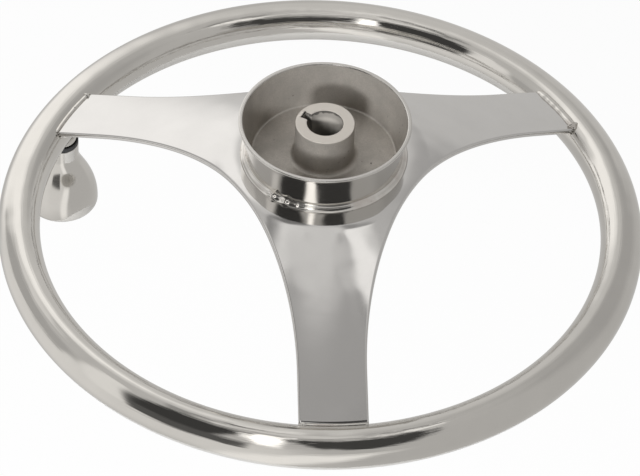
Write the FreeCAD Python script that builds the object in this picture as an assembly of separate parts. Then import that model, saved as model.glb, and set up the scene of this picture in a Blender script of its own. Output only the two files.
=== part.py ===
import FreeCAD, Part
import math
import os

# A stainless steel boat steering wheel: a tube rim, a dished plate with three spokes,
# a cast hub cup with a keyed taper bore, and a bell-shaped knob that spins on ball bearings.
# Millimetres. The shaft axis is Z, and +Z points to the helm, the side the hub cup opens to.
# Z 0 is the spoke plate's face on that side, where the hub is welded on.

# Rim
RIM_DIAMETER = 342.9
TUBE_DIAMETER = 22.2
TUBE_WALL = 1.5
RIM_DISH = 50.5

# Spoke plate
PLATE_THICKNESS = 3.0
SPOKE_COUNT = 3
SPOKE_WIDTH = 35.6
SPOKE_FLARE_RADIUS = 200.0
FIRST_SPOKE_ANGLE = 30.0
SPOKE_MEETS_TUBE = 128.0
PLATE_BEND_RADIUS = 30.0
PLATE_FLAT_MARGIN = 0.6
PLATE_EDGE_ROUNDING = 1.0

# Hub casting
LIP_DIAMETER = 90.4
LIP_HEIGHT = 24.0
LIP_WALL = 2.1
LIP_ROUNDING = 0.6
CUP_FLARE = 4.2
CUP_WALL_HOLLOW = 0.8
CUP_FOOT_WALL = 2.8
CUP_FLOOR_DROP = 0.3
CUP_CORNER_RADIUS = 1.2
HUB_FLOOR_THICKNESS = 4.2
NUT_SEAT_THICKNESS = 6.2
BOSS_DIAMETER = 31.0
BOSS_BELOW_LIP = 1.5
BOSS_ROOT_RADIUS = 3.0
BOSS_EDGE_ROUNDING = 0.5
BORE_MOUTH_DIAMETER = 19.05
BORE_TAPER = 1.0 / 12.0
BORE_LAND_ABOVE_PLATE = 1.5
KEYWAY_WIDTH = 4.76
KEYWAY_DEPTH = 3.1
COLLAR_DIAMETER = 54.0
COLLAR_WALL = 4.0
COLLAR_LENGTH = 5.2

# Welds
HUB_WELD_LEG = 3.2
SPOKE_WELD_PLATE_LEG = 4.5
SPOKE_WELD_TUBE_LEG = 3.0
WELD_CROWN = 0.35

# Centre cap on the front
CENTRE_CAP_MARGIN = 0.6
CENTRE_CAP_DEPTH = 18.0
CENTRE_CAP_WALL = 1.2
CENTRE_CAP_SKIRT_WALL = 1.4
CENTRE_CAP_SKIRT_GAP = 0.9
COLLAR_GROOVE_WIDTH = 2.6
COLLAR_GROOVE_DEPTH = 1.7

# Knob boss and spindle, under the end of one spoke
KNOB_SPOKE = 1
KNOB_BOSS_DIAMETER = 17.1
KNOB_BOSS_STAND = 4.1
BOSS_SPIGOT_DIAMETER = 12.0
BOSS_SPIGOT_REACH = 5.0
STUD_DIAMETER = 8.0
STUD_LENGTH = 8.6
SPINDLE_DIAMETER = 11.0
SPINDLE_CHAMFER = 0.5
CIRCLIP_THICKNESS = 0.8
CIRCLIP_GROOVE_DEPTH = 0.25
CIRCLIP_BAND = 2.0
CIRCLIP_GAP_ANGLE = 50.0
CIRCLIP_EAR_RADIUS = 1.5
CIRCLIP_HOLE_RADIUS = 0.6
SPINDLE_TAIL = 1.8

# Knob
KNOB_HEAD_DIAMETER = 39.6
KNOB_NECK_DIAMETER = 19.2
KNOB_LENGTH = 44.5
KNOB_NECK_LENGTH = 7.5
KNOB_NECK_SWEEP = 8.0
KNOB_HEAD_SWEEP = 17.5
KNOB_END_ROUNDING = 3.0
KNOB_END_BAND = 0.6
KNOB_TOP_GAP = 1.3
NECK_BORE_GAP = 1.0
END_CAP_DIAMETER = 28.0
END_CAP_THICKNESS = 4.0
END_CAP_RING_WALL = 1.2
END_CAP_CHAMFER = 0.4
END_CAP_GROOVE_WIDTH = 1.9
END_CAP_GROOVE_DEPTH = 1.25

# Rubber seal round the knob boss
SEAL_HEIGHT = 2.8
SEAL_FLANGE = 0.7
SEAL_ROUNDING = 0.25

# Ball bearings
BEARING_BORE = 8.0
BEARING_DIAMETER = 22.0
BEARING_WIDTH = 7.0
BEARING_SPACING = 5.0
BALL_DIAMETER = 3.96
BALL_COUNT = 7
BALL_PITCH_DIAMETER = 15.0
RACE_LAND = 1.2
CAGE_HALF_BAND = 0.75
CAGE_RIM = 0.35
SHIELD_THICKNESS = 0.4
SHIELD_SEAT = 0.45
SHIELD_INSET = 0.3
SPACER_WALL = 1.6

# Clearances, all radial or face to face
SEATED = 0.02
THREADED = 0.03
WELDED = 0.05
ROLLING = 0.06
RUNNING = 0.3
TAIL_CLEARANCE = 0.7

# Places that follow from the sizes
tube_radius = TUBE_DIAMETER / 2
tube_bore_radius = tube_radius - TUBE_WALL
tube_seat_radius = tube_radius + SEATED
rim_radius = RIM_DIAMETER / 2 - tube_radius
rim_z = -RIM_DISH
lip_radius = LIP_DIAMETER / 2
foot_radius = lip_radius - CUP_FLARE
cup_floor_radius = foot_radius - CUP_FOOT_WALL
plate_flat_radius = foot_radius + HUB_WELD_LEG + PLATE_FLAT_MARGIN
half_spoke = SPOKE_WIDTH / 2
boss_top = LIP_HEIGHT - BOSS_BELOW_LIP
hub_front = -CUP_FLOOR_DROP - HUB_FLOOR_THICKNESS
nut_seat = -CUP_FLOOR_DROP - NUT_SEAT_THICKNESS
mouth_radius = BORE_MOUTH_DIAMETER / 2
land_radius = mouth_radius - (boss_top - BORE_LAND_ABOVE_PLATE) * BORE_TAPER / 2
collar_radius = COLLAR_DIAMETER / 2
collar_end = nut_seat - COLLAR_LENGTH
cap_skirt_radius = collar_radius + CENTRE_CAP_SKIRT_GAP

knob_angle = FIRST_SPOKE_ANGLE + KNOB_SPOKE * 360.0 / SPOKE_COUNT
knob_x = rim_radius * math.cos(math.radians(knob_angle))
knob_y = rim_radius * math.sin(math.radians(knob_angle))
boss_face = rim_z - tube_radius - KNOB_BOSS_STAND
knob_top = boss_face - KNOB_TOP_GAP
knob_end = knob_top - KNOB_LENGTH
end_cap_seat = knob_end + END_CAP_THICKNESS
bearing_stack_end = end_cap_seat + SPINDLE_TAIL + TAIL_CLEARANCE
lower_bearing_z = bearing_stack_end + BEARING_WIDTH / 2
upper_bearing_z = lower_bearing_z + BEARING_WIDTH + BEARING_SPACING
bearing_stack_top = upper_bearing_z + BEARING_WIDTH / 2
journal_radius = BEARING_BORE / 2 - SEATED
spindle_radius = SPINDLE_DIAMETER / 2
neck_bore_radius = spindle_radius + NECK_BORE_GAP
pocket_radius = BEARING_DIAMETER / 2 + SEATED
end_bore_radius = END_CAP_DIAMETER / 2 + SEATED
pitch_radius = BALL_PITCH_DIAMETER / 2
ball_radius = BALL_DIAMETER / 2
inner_land_radius = pitch_radius - RACE_LAND
outer_land_radius = pitch_radius + RACE_LAND

Z_AXIS = FreeCAD.Vector(0, 0, 1)
ORIGIN = FreeCAD.Vector(0, 0, 0)


def at(radius, height):
    """A point of a profile: distance from the axis, and height along it."""
    return FreeCAD.Vector(radius, 0, height)


def line(start, end):
    return Part.LineSegment(start, end).toShape()


def arc(start, middle, end):
    return Part.Arc(start, middle, end).toShape()


def bulged(start, end, rise):
    """An arc from start to end whose middle stands rise to the left of the straight line."""
    along = end - start
    left = FreeCAD.Vector(-along.z, 0, along.x)
    left.normalize()
    return arc(start, (start + end) * 0.5 + left * rise, end)


def corner_arc(before, corner, after, rounding):
    """The start, middle and end of the arc that rounds a corner."""
    back = (before - corner).normalize()
    onward = (after - corner).normalize()
    half = back.getAngle(onward) / 2
    setback = rounding / math.tan(half)
    inward = (back + onward).normalize() * (rounding / math.sin(half) - rounding)
    return corner + back * setback, corner + inward, corner + onward * setback


def path(*corners):
    """Edges through corners, each given as radius, height and, where it is rounded, rounding."""
    points = [at(corner[0], corner[1]) for corner in corners]
    edges = []
    here = points[0]
    for k in range(1, len(points) - 1):
        start, middle, end = points[k], None, points[k]
        if len(corners[k]) == 3:
            start, middle, end = corner_arc(points[k - 1], points[k], points[k + 1], corners[k][2])
        if here.distanceToPoint(start) > SEATED:
            edges.append(line(here, start))
        if middle:
            edges.append(arc(start, middle, end))
        here = end
    edges.append(line(here, points[-1]))
    return edges


def closed_path(*corners):
    return path(*corners, corners[0])


def face_of(edges):
    return Part.Face(Part.Wire(Part.__sortEdges__(edges)))


def turned(edges, sweep=360.0):
    """The solid that a profile beside the Z axis makes when it turns about it."""
    return face_of(edges).revolve(ORIGIN, Z_AXIS, sweep)


def turned_box(inner, outer, low, high):
    """A plain ring, or a disc where inner is 0."""
    return turned(closed_path((inner, low), (outer, low), (outer, high), (inner, high)))


def on_knob_axis(shape):
    shape.translate(FreeCAD.Vector(knob_x, knob_y, 0))
    return shape


def on_tube(angle):
    """A point at the tube's seat in the rim's section, by its angle above the outward direction."""
    turn = math.radians(angle)
    return at(rim_radius + tube_seat_radius * math.cos(turn), rim_z + tube_seat_radius * math.sin(turn))


def spoke_angles():
    return [FIRST_SPOKE_ANGLE + k * 360.0 / SPOKE_COUNT for k in range(SPOKE_COUNT)]


def plate_slope():
    """The angle at which the spokes fall from the flat centre to meet the tube."""
    target = on_tube(SPOKE_MEETS_TUBE)
    across = target.x - plate_flat_radius
    down = target.z + PLATE_BEND_RADIUS
    reach = math.hypot(across, down)
    return math.atan2(across, down) - math.acos(PLATE_BEND_RADIUS / reach)


def plate_point(depth, run):
    """A point depth below the plate's upper face, run along the sloping part."""
    slope = plate_slope()
    bend = PLATE_BEND_RADIUS - depth
    radius = plate_flat_radius + bend * math.sin(slope) + run * math.cos(slope)
    height = -PLATE_BEND_RADIUS + bend * math.cos(slope) - run * math.sin(slope)
    return at(radius, height)


def plate_bend(depth):
    """The bend's arc at that depth, from the flat centre to the slope."""
    half = plate_slope() / 2
    bend = PLATE_BEND_RADIUS - depth
    middle = at(plate_flat_radius + bend * math.sin(half), -PLATE_BEND_RADIUS + bend * math.cos(half))
    return arc(at(plate_flat_radius, -depth), middle, plate_point(depth, 0.0))


def meets_tube(depth):
    """Where the plate's face at that depth runs into the tube, as a run along the slope."""
    start = plate_point(depth, 0.0)
    slope = plate_slope()
    out = rim_radius - start.x
    down = start.z - rim_z
    middle = out * math.cos(slope) + down * math.sin(slope)
    off = out * math.sin(slope) - down * math.cos(slope)
    return middle - math.sqrt(tube_seat_radius ** 2 - off ** 2)


def rim_tube():
    tube = Part.makeTorus(rim_radius, tube_radius)
    hollow = Part.makeTorus(rim_radius, tube_bore_radius)
    ring = tube.cut(hollow)
    ring.translate(FreeCAD.Vector(0, 0, rim_z))
    hole_radius = BOSS_SPIGOT_DIAMETER / 2 + SEATED
    foot = FreeCAD.Vector(knob_x, knob_y, boss_face)
    hole = Part.makeCylinder(hole_radius, rim_z - boss_face, foot)
    return ring.cut(hole)


def spoke_point(run, side, angle, height):
    """A point run along a spoke's middle line and side to its left."""
    turn = math.radians(angle)
    x = run * math.cos(turn) - side * math.sin(turn)
    y = run * math.sin(turn) + side * math.cos(turn)
    return FreeCAD.Vector(x, y, height)


def star_outline(height):
    """The plate's outline: straight spokes joined by large arcs, each tangent to two spokes."""
    half_gap = 180.0 / SPOKE_COUNT
    flare = SPOKE_FLARE_RADIUS
    tangent_run = (half_spoke + flare) / math.tan(math.radians(half_gap))
    crotch = (half_spoke + flare) / math.sin(math.radians(half_gap)) - flare
    reach = tangent_run + rim_radius
    edges = []
    for angle in spoke_angles():
        after = angle + 2 * half_gap
        right_tip = spoke_point(reach, -half_spoke, angle, height)
        left_tip = spoke_point(reach, half_spoke, angle, height)
        leave = spoke_point(tangent_run, half_spoke, angle, height)
        middle = spoke_point(crotch, 0.0, angle + half_gap, height)
        arrive = spoke_point(tangent_run, -half_spoke, after, height)
        next_tip = spoke_point(reach, -half_spoke, after, height)
        edges += [line(right_tip, left_tip), line(left_tip, leave)]
        edges += [arc(leave, middle, arrive), line(arrive, next_tip)]
    return edges


def dished_disc():
    """A whole disc pressed to the plate's section: flat centre, bend and straight slope."""
    hole_radius = foot_radius + SEATED
    top = plate_point(0.0, meets_tube(0.0) + PLATE_THICKNESS)
    under = plate_point(PLATE_THICKNESS, meets_tube(PLATE_THICKNESS) + PLATE_THICKNESS)
    edges = path((hole_radius, -PLATE_THICKNESS), (hole_radius, 0), (plate_flat_radius, 0))
    edges += [plate_bend(0.0), line(plate_point(0.0, 0.0), top), line(top, under)]
    edges += [line(under, plate_point(PLATE_THICKNESS, 0.0)), plate_bend(PLATE_THICKNESS)]
    edges += path((plate_flat_radius, -PLATE_THICKNESS), (hole_radius, -PLATE_THICKNESS))
    return turned(edges)


def spoke_plate():
    floor = rim_z - tube_radius
    outline = star_outline(floor)
    prism = face_of(outline).extrude(FreeCAD.Vector(0, 0, PLATE_THICKNESS - floor))
    plate = round_outline(dished_disc().common(prism), outline)
    return plate.cut(tube_seat())


def round_outline(plate, outline):
    """Rounds the plate's long edges on both faces, and leaves the hub hole and the ends sharp."""
    border = Part.Compound(outline)
    floor = outline[0].BoundBox.ZMin
    chosen = []
    for edge in plate.Edges:
        middle = edge.valueAt((edge.FirstParameter + edge.LastParameter) / 2)
        below = Part.Vertex(FreeCAD.Vector(middle.x, middle.y, floor))
        if edge.Length > 2 * PLATE_THICKNESS and border.distToShape(below)[0] < SEATED / 2:
            chosen.append(edge)
    return plate.makeFillet(PLATE_EDGE_ROUNDING, chosen)


def tube_seat():
    """The room that the rim takes: its tube as a solid, with the fit's clearance."""
    seat = Part.makeTorus(rim_radius, tube_seat_radius)
    seat.translate(FreeCAD.Vector(0, 0, rim_z))
    return seat


def cup_outside(growth=0.0):
    """The hub cup's outer wall, from the plate to the lip, hollowed a little."""
    foot = at(foot_radius + growth, 0)
    lip = at(lip_radius + growth, LIP_HEIGHT - LIP_ROUNDING)
    return bulged(foot, lip, CUP_WALL_HOLLOW)


def hub_casting():
    """The cup, its floor, the boss and the collar on the front, turned as one, then bored."""
    floor = -CUP_FLOOR_DROP
    edges = path((0, nut_seat), (collar_radius - COLLAR_WALL, nut_seat),
                 (collar_radius - COLLAR_WALL, collar_end), (collar_radius, collar_end),
                 (collar_radius, hub_front), (foot_radius, hub_front), (foot_radius, 0))
    edges.append(cup_outside())
    edges += path((lip_radius, LIP_HEIGHT - LIP_ROUNDING), (lip_radius, LIP_HEIGHT, LIP_ROUNDING),
                  (lip_radius - LIP_WALL, LIP_HEIGHT, LIP_ROUNDING),
                  (cup_floor_radius, floor, CUP_CORNER_RADIUS),
                  (BOSS_DIAMETER / 2, floor, BOSS_ROOT_RADIUS),
                  (BOSS_DIAMETER / 2, boss_top, BOSS_EDGE_ROUNDING), (0, boss_top), (0, nut_seat))
    return turned(edges).cut(shaft_bore()).cut(keyway()).cut(collar_groove())


def shaft_bore():
    """The taper from the boss's mouth, and the short parallel land below it."""
    start = nut_seat - RUNNING
    end = boss_top + RUNNING
    return turned(closed_path((0, start), (land_radius, start), (land_radius, BORE_LAND_ABOVE_PLATE),
                              (mouth_radius, boss_top), (mouth_radius, end), (0, end)))


def keyway():
    """A straight slot along the whole bore, on the knob's side."""
    start = nut_seat - RUNNING
    length = boss_top + RUNNING - start
    corner = FreeCAD.Vector(0, -KEYWAY_WIDTH / 2, start)
    slot = Part.makeBox(mouth_radius + KEYWAY_DEPTH, KEYWAY_WIDTH, length, corner)
    slot.rotate(ORIGIN, Z_AXIS, knob_angle)
    return slot


def collar_groove():
    middle = collar_end + COLLAR_LENGTH / 2
    bottom = collar_radius - COLLAR_GROOVE_DEPTH
    half = COLLAR_GROOVE_WIDTH / 2
    return turned_box(bottom, collar_radius + RUNNING, middle - half, middle + half)


def hub_weld():
    """The bead in the corner between the cup and the plate."""
    section = path((foot_radius, HUB_WELD_LEG), (0, HUB_WELD_LEG), (0, 0), (foot_radius + HUB_WELD_LEG, 0))
    section.append(bulged(at(foot_radius + HUB_WELD_LEG, 0), at(foot_radius, HUB_WELD_LEG), -WELD_CROWN))
    seat_radius = foot_radius + WELDED
    cup_top = LIP_HEIGHT - LIP_ROUNDING
    cup = path((lip_radius + WELDED, cup_top), (0, cup_top), (0, 0), (seat_radius, 0))
    cup.append(cup_outside(WELDED))
    return turned(section).cut(turned(cup))


def spoke_bead(depth, side):
    """One bead's section, on the plate's face at that depth: side 1 above the plate, -1 below."""
    corner = plate_point(depth, meets_tube(depth))
    toe = plate_point(depth, meets_tube(depth) - SPOKE_WELD_PLATE_LEG)
    angle = math.degrees(math.atan2(corner.z - rim_z, corner.x - rim_radius))
    climb = -side * math.degrees(SPOKE_WELD_TUBE_LEG / tube_radius)
    top = on_tube(angle + climb)
    edges = [arc(corner, on_tube(angle + climb / 2), top)]
    edges += [bulged(toe, top, side * WELD_CROWN), line(toe, corner)]
    return edges, 2 * math.degrees(math.asin(half_spoke / corner.x))


def spoke_welds():
    """Beads on both faces of the plate where each spoke's end meets the tube."""
    beads = []
    for depth, side in ((0.0, 1.0), (PLATE_THICKNESS, -1.0)):
        edges, sweep = spoke_bead(depth, side)
        for angle in spoke_angles():
            bead = turned(edges, sweep)
            bead.rotate(ORIGIN, Z_AXIS, angle - sweep / 2)
            beads.append(bead)
    return Part.makeCompound(beads)


def dome(radius, depth, base):
    """A solid spherical cap that stands depth below its flat base."""
    sphere = (radius ** 2 + depth ** 2) / (2 * depth)
    half = math.asin(radius / sphere) / 2
    middle = at(sphere * math.sin(half), base - depth + sphere - sphere * math.cos(half))
    edges = [arc(at(radius, base), middle, at(0, base - depth))]
    edges += path((0, base - depth), (0, base), (radius, base))
    return turned(edges)


def centre_cap():
    """A thin spun dome on the plate's front, with a skirt that grips the hub's collar."""
    seat = -PLATE_THICKNESS
    radius = plate_flat_radius - CENTRE_CAP_MARGIN
    outside = dome(radius, CENTRE_CAP_DEPTH, seat)
    inside = dome(radius - CENTRE_CAP_WALL, CENTRE_CAP_DEPTH - CENTRE_CAP_WALL, seat)
    skirt = turned_box(cap_skirt_radius, cap_skirt_radius + CENTRE_CAP_SKIRT_WALL,
                       seat - CENTRE_CAP_DEPTH, hub_front - RUNNING)
    return outside.cut(inside.cut(skirt))


def ring_seal(bottom, bore, middle):
    """A rubber ring that fills a groove from its bottom to the wall round it."""
    section = (bore - bottom) / 2 - SEATED / 2
    ring = Part.makeTorus((bore + bottom) / 2, section)
    ring.translate(FreeCAD.Vector(0, 0, middle))
    return ring


def centre_cap_o_ring():
    groove = collar_radius - COLLAR_GROOVE_DEPTH
    return ring_seal(groove, cap_skirt_radius, collar_end + COLLAR_LENGTH / 2)


def knob_boss():
    """The turned stub under the rim: a collar shaped to the tube, and a spigot inside it."""
    collar = Part.makeCylinder(KNOB_BOSS_DIAMETER / 2, rim_z - boss_face, at(0, boss_face))
    collar = on_knob_axis(collar).cut(tube_seat())
    spigot_top = rim_z - tube_bore_radius + BOSS_SPIGOT_REACH
    spigot = Part.makeCylinder(BOSS_SPIGOT_DIAMETER / 2, spigot_top - boss_face, at(0, boss_face))
    boss = collar.fuse(on_knob_axis(spigot))
    tapped = Part.makeCylinder(STUD_DIAMETER / 2, STUD_LENGTH + RUNNING, at(0, boss_face))
    return boss.cut(on_knob_axis(tapped)).removeSplitter()


def knob_spindle():
    """The threaded stud, the body that stands on the boss, and the bearings' journal."""
    stud = STUD_DIAMETER / 2 - THREADED
    top = boss_face + STUD_LENGTH
    end = bearing_stack_end - SPINDLE_TAIL
    groove = journal_radius - CIRCLIP_GROOVE_DEPTH
    groove_low = bearing_stack_end - CIRCLIP_THICKNESS - SEATED
    cut = SPINDLE_CHAMFER
    return on_knob_axis(turned(closed_path(
        (0, top), (stud - cut, top), (stud, top - cut), (stud, boss_face),
        (spindle_radius, boss_face), (spindle_radius, bearing_stack_top),
        (journal_radius, bearing_stack_top), (journal_radius, bearing_stack_end),
        (groove, bearing_stack_end), (groove, groove_low), (journal_radius, groove_low),
        (journal_radius, end + cut), (journal_radius - cut, end), (0, end))))


def spindle_circlip():
    """A sprung ring with a gap and two eared ends, in the spindle's groove."""
    inner = journal_radius - CIRCLIP_GROOVE_DEPTH + SEATED
    outer = inner + CIRCLIP_BAND
    low = bearing_stack_end - CIRCLIP_THICKNESS
    ring = turned_box(inner, outer, low, bearing_stack_end)
    gap = turned(closed_path((0, low), (2 * outer, low), (2 * outer, bearing_stack_end),
                             (0, bearing_stack_end)), CIRCLIP_GAP_ANGLE)
    gap.rotate(ORIGIN, Z_AXIS, -CIRCLIP_GAP_ANGLE / 2)
    clip = ring.cut(gap)
    holes = []
    for side in (-1.0, 1.0):
        turn = math.radians(side * CIRCLIP_GAP_ANGLE / 2)
        reach = inner + CIRCLIP_EAR_RADIUS
        centre = FreeCAD.Vector(reach * math.cos(turn), reach * math.sin(turn), low)
        clip = clip.fuse(Part.makeCylinder(CIRCLIP_EAR_RADIUS, CIRCLIP_THICKNESS, centre))
        holes.append(Part.makeCylinder(CIRCLIP_HOLE_RADIUS, CIRCLIP_THICKNESS, centre))
    return on_knob_axis(clip.cut(holes))


def knob_shell():
    """The bell: a straight neck, one sweeping flare and a rounded end, bored from below."""
    neck = KNOB_NECK_DIAMETER / 2
    head = KNOB_HEAD_DIAMETER / 2
    neck_end = knob_top - KNOB_NECK_LENGTH
    head_top = knob_end + KNOB_END_ROUNDING + KNOB_END_BAND
    flare = Part.BezierCurve()
    flare.setPoles([at(neck, neck_end), at(neck, neck_end - KNOB_NECK_SWEEP),
                    at(head, head_top + KNOB_HEAD_SWEEP), at(head, head_top)])
    edges = path((head, head_top), (head, knob_end, KNOB_END_ROUNDING), (end_bore_radius, knob_end),
                 (end_bore_radius, end_cap_seat), (pocket_radius, end_cap_seat),
                 (pocket_radius, bearing_stack_top), (neck_bore_radius, bearing_stack_top),
                 (neck_bore_radius, knob_top), (neck, knob_top), (neck, neck_end))
    edges.append(flare.toShape())
    return on_knob_axis(turned(edges))


def knob_seal():
    """A rubber ring on the neck's top, with a thin flange inside and a lip round the boss."""
    outer = KNOB_NECK_DIAMETER / 2
    lip_inside = KNOB_BOSS_DIAMETER / 2 + RUNNING
    flange_inside = spindle_radius + RUNNING
    top = knob_top + SEAL_HEIGHT
    flange_top = knob_top + SEAL_FLANGE
    return on_knob_axis(turned(closed_path(
        (flange_inside, knob_top), (outer, knob_top), (outer, top, SEAL_ROUNDING), (lip_inside, top),
        (lip_inside, flange_top), (flange_inside, flange_top))))


def knob_end_cap():
    """The plug that closes the bell and holds the bearings' outer races."""
    disc = END_CAP_DIAMETER / 2
    ring_out = BEARING_DIAMETER / 2 - RUNNING
    ring_in = ring_out - END_CAP_RING_WALL
    groove = disc - END_CAP_GROOVE_DEPTH
    middle = (knob_end + end_cap_seat) / 2
    half = END_CAP_GROOVE_WIDTH / 2
    cut = END_CAP_CHAMFER
    return on_knob_axis(turned(closed_path(
        (0, knob_end), (disc - cut, knob_end), (disc, knob_end + cut), (disc, middle - half),
        (groove, middle - half), (groove, middle + half), (disc, middle + half), (disc, end_cap_seat),
        (ring_out, end_cap_seat), (ring_out, bearing_stack_end), (ring_in, bearing_stack_end),
        (ring_in, end_cap_seat), (0, end_cap_seat))))


def end_cap_o_ring():
    groove = END_CAP_DIAMETER / 2 - END_CAP_GROOVE_DEPTH
    return on_knob_axis(ring_seal(groove, end_bore_radius, (knob_end + end_cap_seat) / 2))


def raceway(height):
    track = Part.makeTorus(pitch_radius, ball_radius + ROLLING)
    track.translate(FreeCAD.Vector(0, 0, height))
    return track


def inner_race(height):
    half = BEARING_WIDTH / 2
    ring = turned_box(BEARING_BORE / 2, inner_land_radius, height - half, height + half)
    return on_knob_axis(ring.cut(raceway(height)))


def outer_race(height):
    half = BEARING_WIDTH / 2
    seat = outer_land_radius + SHIELD_SEAT
    step = half - SHIELD_INSET - SHIELD_THICKNESS
    ring = turned_box(outer_land_radius, BEARING_DIAMETER / 2, height - half, height + half)
    ring = ring.cut(turned_box(0, seat, height + step, height + half))
    ring = ring.cut(turned_box(0, seat, height - half, height - step))
    return on_knob_axis(ring.cut(raceway(height)))


def ball_directions():
    """The directions of the balls from the bearing's middle."""
    for k in range(BALL_COUNT):
        turn = 2 * math.pi * k / BALL_COUNT
        yield FreeCAD.Vector(math.cos(turn), math.sin(turn), 0)


def balls(height):
    middle = at(0, height)
    spheres = [Part.makeSphere(ball_radius, middle + out * pitch_radius) for out in ball_directions()]
    return on_knob_axis(Part.makeCompound(spheres))


def ball_cage(height):
    """A thin band with a round pocket for each ball."""
    half = ball_radius + ROLLING + CAGE_RIM
    inner = pitch_radius - CAGE_HALF_BAND
    outer = pitch_radius + CAGE_HALF_BAND
    cage = turned_box(inner, outer, height - half, height + half)
    pockets = [Part.makeCylinder(ball_radius + ROLLING, 2 * outer, at(0, height), out)
               for out in ball_directions()]
    return on_knob_axis(cage.cut(pockets))


def bearing_shields(height):
    """Two thin discs in the outer race's seats, clear of the inner race."""
    inner = inner_land_radius + RUNNING / 2
    outer = outer_land_radius + SHIELD_SEAT - SEATED
    near = BEARING_WIDTH / 2 - SHIELD_INSET - SHIELD_THICKNESS
    far = near + SHIELD_THICKNESS
    pair = [turned_box(inner, outer, height + near, height + far),
            turned_box(inner, outer, height - far, height - near)]
    return on_knob_axis(Part.makeCompound(pair))


def bearing_spacer():
    radius = BEARING_BORE / 2
    half = BEARING_WIDTH / 2
    spacer = turned_box(radius, radius + SPACER_WALL, lower_bearing_z + half, upper_bearing_z - half)
    return on_knob_axis(spacer)


def all_pieces():
    pieces = {
        "rim_tube": rim_tube(),
        "spoke_plate": spoke_plate(),
        "spoke_welds": spoke_welds(),
        "hub_casting": hub_casting(),
        "hub_weld": hub_weld(),
        "centre_cap": centre_cap(),
        "centre_cap_o_ring": centre_cap_o_ring(),
        "knob_boss": knob_boss(),
        "knob_spindle": knob_spindle(),
        "knob_seal": knob_seal(),
        "knob_shell": knob_shell(),
        "knob_end_cap": knob_end_cap(),
        "end_cap_o_ring": end_cap_o_ring(),
        "bearing_spacer": bearing_spacer(),
        "spindle_circlip": spindle_circlip(),
    }
    for name, height in (("upper", upper_bearing_z), ("lower", lower_bearing_z)):
        pieces[name + "_inner_race"] = inner_race(height)
        pieces[name + "_outer_race"] = outer_race(height)
        pieces[name + "_balls"] = balls(height)
        pieces[name + "_ball_cage"] = ball_cage(height)
        pieces[name + "_shields"] = bearing_shields(height)
    return pieces


os.makedirs("parts", exist_ok=True)
for node, shape in all_pieces().items():
    shape.exportStep("parts/" + node + ".step")
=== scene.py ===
"""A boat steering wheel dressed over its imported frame.

The rim, the dished spoke plate, the hub cup, the weld beads, the centre cap and the spinning knob
are surfaces worked out from their sizes. The bearings, the spindle and the rings inside keep their
own meshes and get their finishes. Sizes are in metres. The shaft axis is Z, and +Z points to the helm.
"""

from math import acos, asin, atan2, cos, hypot, pi, radians, sin, sqrt, tan

import bmesh
import bpy
import numpy as np
from mathutils import Matrix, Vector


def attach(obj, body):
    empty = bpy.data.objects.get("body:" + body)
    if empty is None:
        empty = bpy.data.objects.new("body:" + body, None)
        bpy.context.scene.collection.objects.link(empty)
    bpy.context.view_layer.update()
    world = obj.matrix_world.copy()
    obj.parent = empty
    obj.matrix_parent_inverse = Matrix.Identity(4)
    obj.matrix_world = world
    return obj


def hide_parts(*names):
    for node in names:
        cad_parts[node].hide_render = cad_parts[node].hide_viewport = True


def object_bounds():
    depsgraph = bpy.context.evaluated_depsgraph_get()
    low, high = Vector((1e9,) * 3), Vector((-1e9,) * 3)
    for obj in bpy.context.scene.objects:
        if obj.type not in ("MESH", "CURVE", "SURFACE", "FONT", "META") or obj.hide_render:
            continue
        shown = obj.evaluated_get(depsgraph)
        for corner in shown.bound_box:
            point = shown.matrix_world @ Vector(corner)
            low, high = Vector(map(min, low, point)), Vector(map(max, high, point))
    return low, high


bl_info = {
    "name": "Boat steering wheel",
    "version": (1, 0, 0),
    "blender": (4, 5, 0),
    "location": "View3D > Sidebar > Wheel",
    "description": "Makes a polished boat steering wheel with a ball-bearing knob",
    "category": "Object",
}

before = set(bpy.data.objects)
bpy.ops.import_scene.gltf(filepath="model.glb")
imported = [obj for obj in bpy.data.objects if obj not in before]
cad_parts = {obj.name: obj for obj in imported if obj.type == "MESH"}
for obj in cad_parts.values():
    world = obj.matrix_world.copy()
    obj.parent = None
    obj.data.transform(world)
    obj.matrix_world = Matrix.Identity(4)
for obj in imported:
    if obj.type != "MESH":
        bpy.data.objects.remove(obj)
solids_box = [list(corner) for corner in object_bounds()]
FULL_TURN = 2 * pi
HALF_SECTOR = pi / 3
KEY_TURN = radians(150.0)


# Sizes

def number(name, description, default, **kind):
    return bpy.props.FloatProperty(name=name, description=description, default=default, **kind)


def length(name, description, default):
    return number(name, description, default, min=0.0, unit="LENGTH")


def level(name, description, default):
    return number(name, description, default, unit="LENGTH")


def angle(name, description, degrees):
    return number(name, description, radians(degrees), subtype="ANGLE", unit="ROTATION")


def share(name, description, default):
    return number(name, description, default, min=0.0, max=1.0, subtype="FACTOR")


def colour(name, description, default):
    return bpy.props.FloatVectorProperty(
        name=name, description=description, default=default, size=3, min=0.0, max=1.0, subtype="COLOR")


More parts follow.
